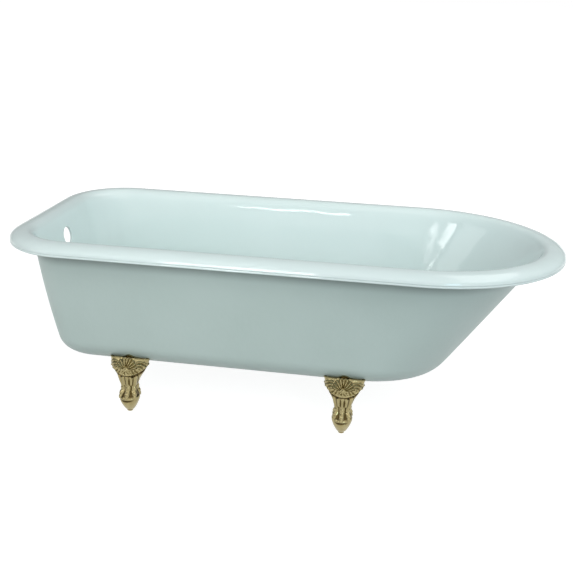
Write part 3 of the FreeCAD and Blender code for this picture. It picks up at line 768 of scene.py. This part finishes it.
def room_point(degrees, level):
    """Point on the back of the casting: solid below, hollow behind the shell, closed at the top; and
    its painted shade, which deepens into the hollow.
    """
    turn = math.radians(degrees)
    shoulder = FOOT_TOP - CREST_RISE
    height = FOOT_BASE + (shoulder - 2.5 - FOOT_BASE) * min(level, 1.0)
    around = 180.0
    if degrees:
        around = math.copysign(180 - abs(degrees) * (180 - SKIN_REACH) / SKIN_REACH, degrees)
    solid = leg_point(height, around, toe_relief(around, height))
    half_width, middle, front, back = leg_section(height)
    depth = front if math.cos(turn) > 0 else back
    hollow = ((half_width - FOOT_WALL) * math.sin(turn),
              middle - (depth - FOOT_WALL) * math.cos(turn), height)
    share = smooth_step(height, BELLY_HEIGHT - 46, BELLY_HEIGHT - 34)
    x, y, z = (a + (b - a) * share for a, b in zip(solid, hollow))
    roof = smooth_step(height, shoulder - FOOT_WALL - 3, shoulder - FOOT_WALL + 2)
    y = min(y, bend_y(z))
    if roof > 0:
        y += (bend_y(z) - y) * roof
    # painted shade in the hollow behind the shell
    return (x, y, z), 0.35 * share


def foot_object(name, brass):
    """One foot facing -Y: a carved skin, hollow behind the shell, trimmed to the crest and tub."""
    outer = steps(-SKIN_REACH, SKIN_REACH, 2 * int(SKIN_REACH))
    inner = steps(SKIN_REACH, -SKIN_REACH, int(SKIN_REACH / 2))[1:-1]
    levels = steps(0.0, 1.0, FRONT_ROWS) + steps(1.0, 2.0, LEDGE_ROWS)[1:]
    row = [[skin_point(d, level) for d in outer] + [room_point(d, level) for d in inner]
           for level in levels]
    points = [point for ring in row for point, depth in ring]
    # painted shade for each point, stored for the brass to darken with
    recess_shade = [depth for ring in row for point, depth in ring]
    size, rows = len(row[0]), len(levels) - 1
    faces = []
    for j in range(rows):
        for i in range(size):
            k = (i + 1) % size
            faces.append((j * size + i, j * size + k, (j + 1) * size + k, (j + 1) * size + i))
    faces.append(tuple(reversed(range(size))))
    faces.append(tuple(range(rows * size, (rows + 1) * size)))
    foot = mesh_object(name, points, faces)
    layer = foot.data.attributes.new("recess_shade", "FLOAT", "POINT")
    layer.data.foreach_set("value", recess_shade)
    foot.data.materials.append(brass)
    sharpen(foot, 70)
    return foot


def tang_object(name, brass):
    """Plate from behind the shell to under the lug, with the bolt's hole."""
    top = BELLY_HEIGHT - LUG_DEPTH
    plate = box_object(name, (-TANG_WIDTH / 2, TANG_WIDTH / 2),
                       (TANG_START, BOLT_FROM_FOOT + TANG_PAST_BOLT), (top - TANG_THICKNESS, top))
    hole = [(SLOT_NECK / 2, top - 2 * TANG_THICKNESS), (SLOT_NECK / 2, top + TANG_THICKNESS)]
    combine(plate, turned_object("hole", hole, (0, BOLT_FROM_FOOT, 0), count=48), "DIFFERENCE")
    bevel_edges(plate, TANG_BEVEL)
    plate.data.materials.append(brass)
    sharpen(plate, 50)
    return plate


def join(objects, name):
    with bpy.context.temp_override(active_object=objects[0], selected_editable_objects=objects,
                                   selected_objects=objects):
        bpy.ops.object.join()
    objects[0].name = name
    return objects[0]


def placed_copy(source, name, x, side):
    """Copy of a foot-frame mesh at one place; the far side is mirrored."""
    mesh = source.data.copy()
    if side > 0:
        mesh.transform(Matrix.Scale(-1, 4, (0, 1, 0)))
        mesh.flip_normals()
    mesh.transform(Matrix.Translation((x * MM, side * FOOT_Y * MM, 0)))
    obj = bpy.data.objects.new(name, mesh)
    bpy.context.collection.objects.link(obj)
    return obj


# ================================================================ stage
def floor_material():
    """Pale floor that is white to the camera and in reflections and keeps the object's shadow."""
    material = bpy.data.materials.new("pale_floor")
    material.use_nodes = True
    tree = material.node_tree
    shader = tree.nodes["Principled BSDF"]
    shader.inputs["Base Color"].default_value = (*FLOOR_COLOUR, 1)
    shader.inputs["Roughness"].default_value = 0.9
    shader.inputs["Specular IOR Level"].default_value = 0.0
    path = tree.nodes.new("ShaderNodeLightPath")
    seen = path.outputs["Is Camera Ray"]
    for other in ("Is Glossy Ray", "Is Transmission Ray"):
        both = tree.nodes.new("ShaderNodeMath")
        both.operation = "MAXIMUM"
        tree.links.new(seen, both.inputs[0])
        tree.links.new(path.outputs[other], both.inputs[1])
        seen = both.outputs[0]
    glow = tree.nodes.new("ShaderNodeMath")
    glow.operation = "MULTIPLY"
    glow.inputs[1].default_value = FLOOR_GLOW
    tree.links.new(seen, glow.inputs[0])
    shader.inputs["Emission Color"].default_value = (1, 1, 1, 1)
    tree.links.new(glow.outputs[0], shader.inputs["Emission Strength"])
    return material


def studio_world():
    """Grey studio that brightens smoothly towards the main light's side, white to the camera."""
    world = bpy.data.worlds.new("studio")
    world.use_nodes = True
    tree = world.node_tree
    towards = tree.nodes.new("ShaderNodeVectorMath")
    towards.operation = "DOT_PRODUCT"
    towards.inputs[1].default_value = Vector(MAIN_LIGHT).normalized()
    tree.links.new(tree.nodes.new("ShaderNodeTexCoord").outputs["Generated"], towards.inputs[0])
    sky = tree.nodes["Background"]
    sky.inputs["Strength"].default_value = SKY_STRENGTH
    tone = ramp(tree, towards.outputs["Value"], 0.50, 1.0, SKY_DARK, SKY_BRIGHT)
    tree.links.new(tone, sky.inputs["Color"])
    white = tree.nodes.new("ShaderNodeBackground")
    white.inputs["Color"].default_value = (1, 1, 1, 1)
    path = tree.nodes.new("ShaderNodeLightPath")
    seen = tree.nodes.new("ShaderNodeMixShader")
    tree.links.new(path.outputs["Is Camera Ray"], seen.inputs["Fac"])
    tree.links.new(sky.outputs[0], seen.inputs[1])
    tree.links.new(white.outputs[0], seen.inputs[2])
    tree.links.new(seen.outputs[0], tree.nodes["World Output"].inputs["Surface"])
    return world


def area_light(name, place, target, size, radiance, colour=(1, 1, 1), spread=180):
    """Soft box of that size in metres and that brightness straight ahead, where 1 is white. The
    spread is the angle in degrees that its grid lets the light out in."""
    data = bpy.data.lights.new(name, "AREA")
    data.shape = "RECTANGLE"
    data.size, data.size_y = size
    data.energy = radiance * math.pi * size[0] * size[1]
    data.color = colour
    if spread < 180:
        half = math.radians(spread) / 2
        data.spread = 2 * half
        data.energy *= 1 - half / math.tan(half)
    lamp = bpy.data.objects.new(name, data)
    lamp.location = place
    lamp.rotation_euler = (Vector(target) - Vector(place)).to_track_quat("-Z", "Y").to_euler()
    bpy.context.collection.objects.link(lamp)


def photo_camera():
    """Camera at the photograph's place and angle."""
    data = bpy.data.cameras.new("camera")
    data.sensor_width = SENSOR
    data.lens = FOCAL_PIXELS * SENSOR / FRAME_PIXELS
    data.clip_end = 100
    right = Vector(CAMERA_RIGHT).normalized()
    back = right.cross(Vector(CAMERA_UP).normalized()).normalized()
    turn = Matrix((right, back.cross(right), back)).transposed().to_4x4()
    camera = bpy.data.objects.new("camera", data)
    camera.matrix_world = Matrix.Translation(CAMERA_PLACE) @ turn
    bpy.context.collection.objects.link(camera)
    return camera


# ================================================================ build
enamel, paint = enamel_material(), paint_material()
brass, steel = brass_material(), steel_material()
places = [(end, where, x, side) for end, x in FEET_X.items()
          for side, where in ((-1, "front"), (1, "back"))]

tub_parts = [tub_object(enamel, paint), drain_pad(paint)]
for end, where, x, side in places:
    tub_parts.append(lug_object("lug_%s_%s" % (end, where), x, side, paint))
tub = join(tub_parts, "tub_dressed")
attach(tub, "tub")
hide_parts("tub_body")

foot = join([foot_object("foot_skin", brass), tang_object("foot_tang", brass)], "foot_source")
for end, where, x, side in places:
    piece = placed_copy(foot, "claw_foot_%s_%s" % (end, where), x, side)
    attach(piece, "tub")
    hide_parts("foot_%s_%s" % (end, where))
bpy.data.objects.remove(foot)

for name, node in NODES.items():
    kind = name.split("_")[0]
    if kind in ("bolt", "washer", "nut", "glide"):
        node.data.materials.clear()
        node.data.materials.append(brass if kind == "glide" else steel)

bpy.ops.mesh.primitive_plane_add(size=FLOOR_SIZE, location=(0, 0, 0))
floor = bpy.context.object
floor.name = "floor"
floor.data.materials.append(floor_material())
bpy.context.scene.world = studio_world()

area_light("front_strip", (-0.305, -1.4, 0.907), (-0.27, -0.39, 0.60), (0.65, 0.064), 20, spread=50)
area_light("front_left", (-1.12, -2.3, 1.47), (0.62, 0.05, 0.42), (0.52, 0.24), 10, spread=50)
area_light("left_fill", (-2.4, -1.7, 1.5), (-0.4, 0.0, 0.3), (1.6, 1.6), 1.6)
area_light("right_panel", (1.35, 0.10, 2.25), (0.5, -0.2, 0.5), (2.4, 0.9), 1.9)
area_light("near_right", (1.45, -2.4, 1.1), (0.5, 0.0, 0.4), (0.5, 0.5), 6, (0.50, 0.80, 1.0))

bpy.context.scene.camera = photo_camera()
bpy.context.scene.view_settings.view_transform = "Standard"
